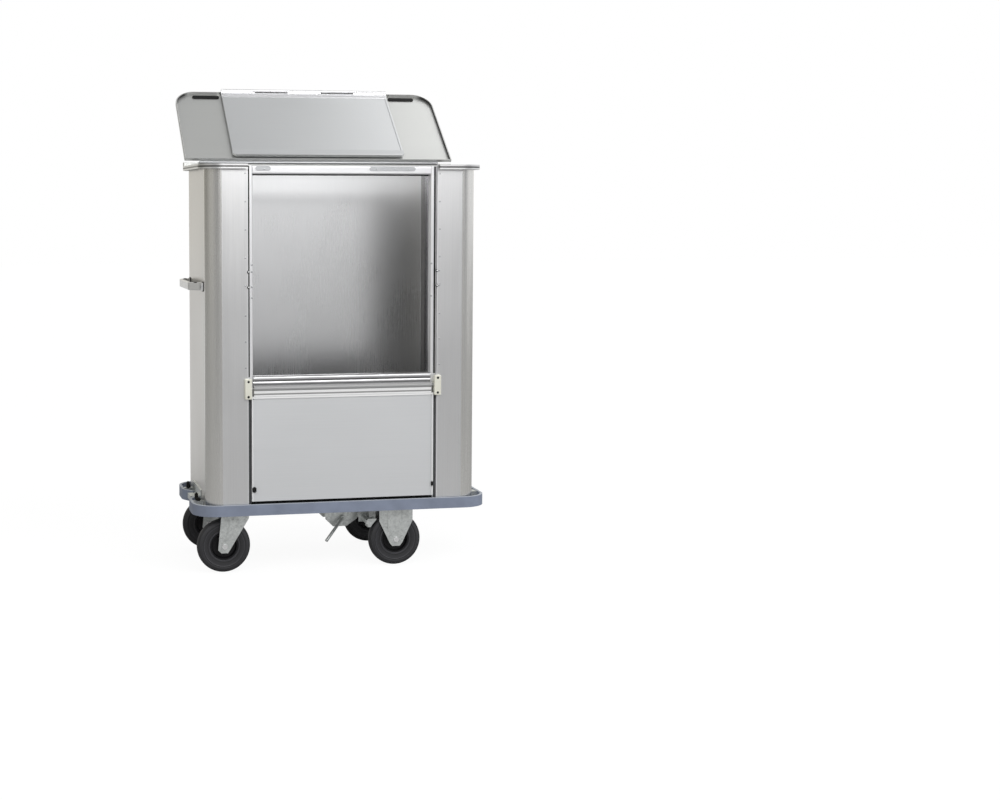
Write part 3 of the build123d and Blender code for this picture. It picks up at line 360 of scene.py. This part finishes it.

# Painted shade: the sheet is darkened on the faces that look into the cabinet, back (1) or forward
# (-1), for the shade inside it
for mat, facing, tone in (
    (wall_metal, 1, 0.18),
    (corner_metals["front"], 1, 0.18),
    (corner_metals["rear"], -1, 0.55),
):
    tree = mat.node_tree
    inward_shade = ramp_between(tree, coordinate(tree, "Y", "Normal"), 0.15 * facing, 0.6 * facing)
    tint(mat, inward_shade, (tone, tone, tone * 1.03))

# Painted highlights and painted shade lines on the sill, the lower flap's rail, the flap's top
# edge and the rim, from below: height and grey
paint_light_bands(
    sill_metal,
    (0.700, 0.5),
    (0.7175, 0.5),
    (0.7190, 1.0),
    (0.7265, 1.0),
    (0.7280, 0.15),
    (0.7320, 0.15),
    (0.7335, 1.0),
    (0.7430, 1.0),
    (0.7440, 0.45),
    (0.748, 0.45),
)
paint_light_bands(
    rail_metal,
    (0.670, 1.0),
    (0.6775, 1.0),
    (0.6790, 0.30),
    (0.6830, 0.30),
    (0.6850, 1.0),
    (0.6935, 1.0),
    (0.6950, 0.36),
    (0.714, 0.36),
)
paint_light_bands(panel_metal, (0.25, 0.96), (0.662, 0.96), (0.664, 1.22), (0.70, 1.22))
paint_light_bands(
    rim_metal,
    (1.515, 1.1),
    (1.5325, 1.1),
    (1.534, 0.12),
    (1.538, 0.12),
    (1.5395, 1.0),
    (1.546, 1.0),
)

# Painted highlight: the barrel round the upper flap's pin is made bright
tree = lid_metal.node_tree
from_pin = radius_about(tree, "YZ", flap_pin_yz)
barrel = ramp_between(tree, from_pin, flap_pin_barrel + 0.0005, flap_pin_barrel)
tint(lid_metal, barrel, (0.86, 0.86, 0.87))

# Painted highlight: the bumper's upper edge is made paler
tree = bumper_rubber.node_tree
edge = ramp_between(tree, coordinate(tree, "Z"), 0.2625, 0.2648)
tint(bumper_rubber, edge, (0.40, 0.43, 0.48))


def assign(mat, *names):
    for name in names:
        for slot in nodes[name].material_slots:
            slot.material = mat


for end, metal in corner_metals.items():
    assign(metal, f"corner_profile_{end}_left", f"corner_profile_{end}_right")
assign(wall_metal, "front_strip_left", "front_strip_right", "lower_front_panel", "floor_pan")
assign(end_metal, "end_panel_left", "end_panel_right")
assign(rear_metal, "rear_panel")
assign(post_metal, "door_post_left", "door_post_right")
assign(sill_metal, "door_sill")
assign(profile_metal, "door_head", "upper_flap_hinge_rail", "lower_flap_grip_rail")
assign(rim_metal, "rim_left", "rim_right", "push_handle")
assign(lid_metal, "lid_pan", "lid_rear_panel")
assign(upper_metal, "upper_flap_panel", "upper_flap_bottom_rail")
assign(panel_metal, "lower_flap_panel")
assign(rail_metal, "lower_flap_hinge_rail")
assign(zinc_metal, "base_frame", "bumper_brackets", "brake_bracket", "brake_lever", "brake_bar")
assign(steel_metal, "lid_hinge_fixed_leaf", "lid_hinge_leaf", "lid_hinge_pin")
assign(steel_metal, "upper_flap_pin", "lid_keepers")
assign(bright_steel, "fixed_axles", "swivel_axle_front", "swivel_axle_rear")
assign(cream, "hinge_block_left", "hinge_block_right")
assign(seal_rubber, "lid_seal")
assign(black_rubber, "lid_rest_strips", "lower_flap_buffers", "catch_studs")
assign(bumper_rubber, "bumper_strip")
# The rear tyres get tone 0.6: painted shade, darker than the front ones
for end, tone in (("front", 1.0), ("rear", 0.6)):
    assign(zinc_metal, f"swivel_plate_{end}", f"swivel_fork_{end}", f"fixed_fork_{end}")
    for kind, x in wheel_x.items():
        assign(tyre(f"{kind}_tyre_{end}_rubber", x, tone), f"{kind}_tyre_{end}")
        assign(hub_black, f"{kind}_hub_{end}")


# Small pieces: rivets, screws, rubber trims
def strip(bm, xs, ys, zs, rounding=0.0006):
    """Rounded bar that fills a span of each axis."""
    low, high = (Vector(corner) for corner in zip(*map(sorted, (xs, ys, zs))))
    place = Matrix.Translation((low + high) / 2) @ Matrix.Diagonal((*(high - low), 1))
    made = bmesh.ops.create_cube(bm, size=1.0, matrix=place)
    edges = dict.fromkeys(edge for vert in made["verts"] for edge in vert.link_edges)
    bmesh.ops.bevel(bm, geom=list(edges), offset=rounding, segments=2, affect="EDGES")


def mirror(side, span):
    return [side * value for value in span]


def dome(bm, centre, direction, radius, height):
    """Domed head with a straight rim, its axis along the direction."""
    turn = Vector(direction).to_track_quat("Z", "Y").to_matrix()
    profile = ((1.0, 0.0), (1.0, 0.35), (0.88, 0.7), (0.55, 0.93), (0.2, 1.0))
    count = 20
    rings = []
    for share, rise in profile:
        ring = []
        for i in range(count):
            angle = 2 * math.pi * i / count
            reach = share * radius
            local = Vector((reach * math.cos(angle), reach * math.sin(angle), rise * height))
            ring.append(bm.verts.new(Vector(centre) + turn @ local))
        rings.append(ring)
    for low, high in zip(rings, rings[1:]):
        for i in range(count):
            after = (i + 1) % count
            bm.faces.new((low[i], low[after], high[after], high[i]))
    bm.faces.new(rings[-1])
    bm.faces.new(list(reversed(rings[0])))


def piece(name, bm, mat, body):
    """Object of the finished mesh, with its material and body."""
    mesh = bpy.data.meshes.new(name)
    bm.to_mesh(mesh)
    bm.free()
    mesh.materials.append(mat)
    for face in mesh.polygons:
        face.use_smooth = True
    obj = bpy.data.objects.new(name, mesh)
    scene.collection.objects.link(obj)
    mesh.set_sharp_from_angle(angle=math.radians(40))
    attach(obj, body)


forward = (0, -1, 0)
leftward = (-1, 0, 0)
rivet_head = (0.0032, 0.0012)  # radius and height
screw_head = (0.0036, 0.0012)
seam_x = 0.376
post_screw_x = 0.349
head_bar_screw_x = (-0.300, 0.133, 0.204, 0.258)
stud_heights = (1.142, 1.085)  # the catch studs beside the doorway
plate_heights = (1.168, 1.044)  # the screws above and below them
handle_z = 1.085
lower_shade_y = (-0.2590, -0.2574)  # the dark strips of painted shade on the lower front panel
bead_top, bead_bottom = 0.6728, 0.276  # the pale beads of painted highlight round the lower flap

bm = bmesh.new()
for side in sides:
    for z in (1.511, 1.405, 1.300, 1.195, 1.091, 0.978, 0.880, 0.782):
        dome(bm, (side * seam_x, front_y, z), forward, *rivet_head)
piece("seam_rivets", bm, steel_metal, "cabinet")

bm = bmesh.new()
for x, y, heights in (
    (-post_screw_x, post_y, plate_heights + stud_heights),
    (0.374, front_y, stud_heights),
    (post_screw_x, post_y, plate_heights),
):
    for z in heights:
        dome(bm, (x, y, z), forward, *screw_head)
for x in head_bar_screw_x:
    dome(bm, (x, head_bar_y, 1.527), forward, *rivet_head)
piece("post_screws", bm, steel_metal, "cabinet")

bm = bmesh.new()
for side in sides:
    for z in (0.6735, 0.7305):
        dome(bm, (side * 0.36775, -0.2888, z), forward, 0.0046, 0.0012)
piece("block_screws", bm, black_rubber, "cabinet")

bm = bmesh.new()
for side in sides:
    for z in stud_heights:
        dome(bm, (side * 0.3645, -0.2818, z), forward, 0.0032, 0.0020)
piece("catch_caps", bm, bright_steel, "cabinet")

bm = bmesh.new()
for side in sides:
    dome(bm, (-0.5328, side * 0.190, handle_z), leftward, 0.0055, 0.0035)
piece("handle_bolts", bm, steel_metal, "cabinet")

# Black strips of painted shade in the gaps on the door posts, below the lower flap and under the
# head bar
bm = bmesh.new()
for side in sides:
    strip(bm, mirror(side, (0.3577, 0.3642)), (-0.2568, -0.2549), (0.745, 1.5385))
strip(bm, (-0.3535, 0.3535), lower_shade_y, (0.259, 0.273))
strip(bm, (-0.3445, 0.3445), (-0.2290, -0.2255), (1.5030, 1.5078))
piece("recess_shade_strips", bm, black_rubber, "cabinet")

# Dark grey strips beside the lower flap: painted shade in the gaps between the flap and the front
# strips
bm = bmesh.new()
for xs in ((-0.3656, -0.3542), (0.3585, 0.3656)):
    strip(bm, xs, lower_shade_y, (0.262, 0.662))
piece("flap_side_shade_strips", bm, gap_shade_grey, "cabinet")

# Pale beads round the lower flap: painted highlight along its edges
bm = bmesh.new()
strip(bm, (-0.3525, 0.3525), (-0.2762, -0.2745), (0.6645, bead_top))
for side in sides:
    strip(bm, mirror(side, (0.3495, 0.3530)), (-0.2760, -0.2745), (bead_bottom, 0.6650))
piece("flap_edge_highlight_beads", bm, bead_metal, "lower_flap")

bm = bmesh.new()
for xs in ((-0.3525, -0.3375), (0.3445, 0.3530)):
    strip(bm, xs, (-0.2815, -0.2748), (0.309, 0.330), rounding=0.003)
piece("flap_buffer_pads", bm, black_rubber, "lower_flap")

# Black blocks in the ears at the bumper's left end: painted shade for the dark inside of the ears
bm = bmesh.new()
for side in sides:
    for xs, ys, zs in (
        ((-0.552, -0.532), (0.139, 0.161), (0.2625, 0.274)),
        ((-0.553, -0.540), (0.121, 0.138), (0.2625, 0.291)),
    ):
        strip(bm, xs, mirror(side, ys), zs, rounding=0.004)
piece("ear_shade_blocks", bm, black_rubber, "cabinet")

# Black strips behind the handle's feet and on its arms: painted shade in the gaps there
bm = bmesh.new()
for side in sides:
    for xs, ys, zs in (
        ((-0.5268, -0.5249), (0.1700, 0.2105), (1.0665, 1.1035)),
        ((-0.5560, -0.5440), (0.1450, 0.1640), (1.0995, 1.1010)),
    ):
        strip(bm, xs, mirror(side, ys), zs)
piece("handle_shade_strips", bm, black_rubber, "cabinet")

# Studio floor
floor_mesh = bpy.data.meshes.new("floor")
half = 30.0
floor_mesh.from_pydata(
    [(-half, -half, 0), (half, -half, 0), (half, half, 0), (-half, half, 0)], [], [(0, 1, 2, 3)]
)
floor = bpy.data.objects.new("floor", floor_mesh)
scene.collection.objects.link(floor)


def background_share(tree, glossy):
    """1 on camera and transmission rays, less on glossy ones, 0 on the rest."""
    rays = add(tree, "ShaderNodeLightPath").outputs
    seen = calc(tree, "MAXIMUM", rays["Is Camera Ray"], rays["Is Transmission Ray"])
    return calc(tree, "MAXIMUM", seen, calc(tree, "MULTIPLY", rays["Is Glossy Ray"], glossy))


# The floor glows white to the camera and keeps the cart's shadow. In gloss it glows less, and
# more in the wedge that opens behind the cart than elsewhere.
floor_glow, glow_share = 1.24, 0.75
wedge_slope, wedge_fade = 1.2, 1.5
gloss_elsewhere, gloss_added_behind = 0.10, 0.50

mat, tree, shader = new_material("floor_white")
shader.inputs["Base Color"].default_value = (0.38, 0.38, 0.38, 1)
shader.inputs["Roughness"].default_value = 0.9
shader.inputs["Specular IOR Level"].default_value = 0.1
emission = add(tree, "ShaderNodeEmission")
emission.inputs["Strength"].default_value = floor_glow
aside = calc(tree, "ABSOLUTE", coordinate(tree, "X"))
behind = calc(tree, "MULTIPLY_ADD", aside, -wedge_slope, coordinate(tree, "Y"))
in_wedge = ramp_between(tree, behind, 0.0, wedge_fade)
in_gloss = calc(tree, "MULTIPLY_ADD", in_wedge, gloss_added_behind, gloss_elsewhere)
glow = calc(tree, "MULTIPLY", background_share(tree, in_gloss), glow_share)
mix = add(tree, "ShaderNodeMixShader")
tree.links.new(glow, mix.inputs["Fac"])
tree.links.new(shader.outputs["BSDF"], mix.inputs[1])
tree.links.new(emission.outputs["Emission"], mix.inputs[2])
tree.links.new(mix.outputs["Shader"], tree.nodes["Material Output"].inputs["Surface"])
floor_mesh.materials.append(mat)

# Surroundings: a pale studio with darker walls. Each stop has its angle in degrees, 0 in front
# of the cart, -90 at its left, 90 at its right and 180 behind it.
walls = (
    (-180, (0.76, 0.74, 0.68)),
    (-160, (0.76, 0.74, 0.68)),
    (-140, (0.21, 0.20, 0.155)),
    (-110, (0.15, 0.143, 0.113)),
    (-80, (0.40, 0.39, 0.35)),
    (-56, (0.42, 0.41, 0.38)),
    (-30, (0.13, 0.13, 0.13)),
    (-12, (0.17, 0.17, 0.17)),
    (2, (0.44, 0.44, 0.445)),
    (28, (0.44, 0.44, 0.46)),
    (46, (0.28, 0.29, 0.31)),
    (66, (0.95, 0.96, 0.98)),
    (120, (0.90, 0.91, 0.93)),
    (160, (0.76, 0.74, 0.68)),
)
ceiling = (0.46, 0.465, 0.47)
gloss_share = 0.12

world = bpy.data.worlds.new("studio")
scene.world = world
world.use_nodes = True
tree = world.node_tree
background = tree.nodes["Background"]
ahead = calc(tree, "MULTIPLY", coordinate(tree, "Y", "Generated"), -1.0)
angle = calc(tree, "ARCTAN2", coordinate(tree, "X", "Generated"), ahead)
turn = calc(tree, "MULTIPLY_ADD", angle, 1 / (2 * math.pi), 0.5)
around = colour_ramp(tree, turn, [(degrees / 360 + 0.5, colour) for degrees, colour in walls])
upward = map_range(tree, coordinate(tree, "Z", "Generated"), 0.35, 0.95)
room = colour_mix(tree, upward, around, ceiling)
seen = colour_mix(tree, background_share(tree, gloss_share), room, (1, 1, 1))
tree.links.new(seen, background.inputs["Color"])
background.inputs["Strength"].default_value = 1.0


# Lamps
def lamp(name, kind, direction, power):
    """Lamp that shines along the direction."""
    light = bpy.data.lights.new(name, kind)
    light.energy = power
    obj = bpy.data.objects.new(name, light)
    obj.rotation_euler = Vector(direction).to_track_quat("-Z", "Y").to_euler()
    scene.collection.objects.link(obj)
    return light, obj


def softbox(name, place, target, width, height, power):
    light, obj = lamp(name, "AREA", Vector(target) - Vector(place), power)
    light.shape = "RECTANGLE"
    light.size = width
    light.size_y = height
    obj.location = place
    obj.visible_camera = False


def sun(name, direction, power, softness):
    light, _ = lamp(name, "SUN", direction, power)
    light.angle = math.radians(softness)


softbox("front_softbox", (0.35, -3.2, 2.75), (0, 0, 1.2), 2.2, 1.4, 52)
softbox("top_softbox", (1.4, 0.9, 3.6), (0.6, 0.2, 1.5), 1.4, 1.4, 6.5)
sun("fill_left", (0.587, 0.492, -0.643), 0.6, softness=35)
sun("fill_right", (-0.587, 0.492, -0.643), 0.6, softness=25)

# Camera, from the edges of the cabinet in the photograph
downward_degrees = 4.22
rightward_degrees = 11.75
camera_data = bpy.data.cameras.new("camera")
camera_data.sensor_width = 36
camera_data.lens = 58.73
camera_data.shift_x = 0.1788
camera_data.shift_y = -0.0783
camera = bpy.data.objects.new("camera", camera_data)
camera.location = (-1.3396, -6.2960, 1.4058)
camera.rotation_euler = (
    math.radians(90 - downward_degrees),
    0,
    math.radians(-rightward_degrees),
)
scene.collection.objects.link(camera)
scene.camera = camera
scene.view_settings.view_transform = "Standard"
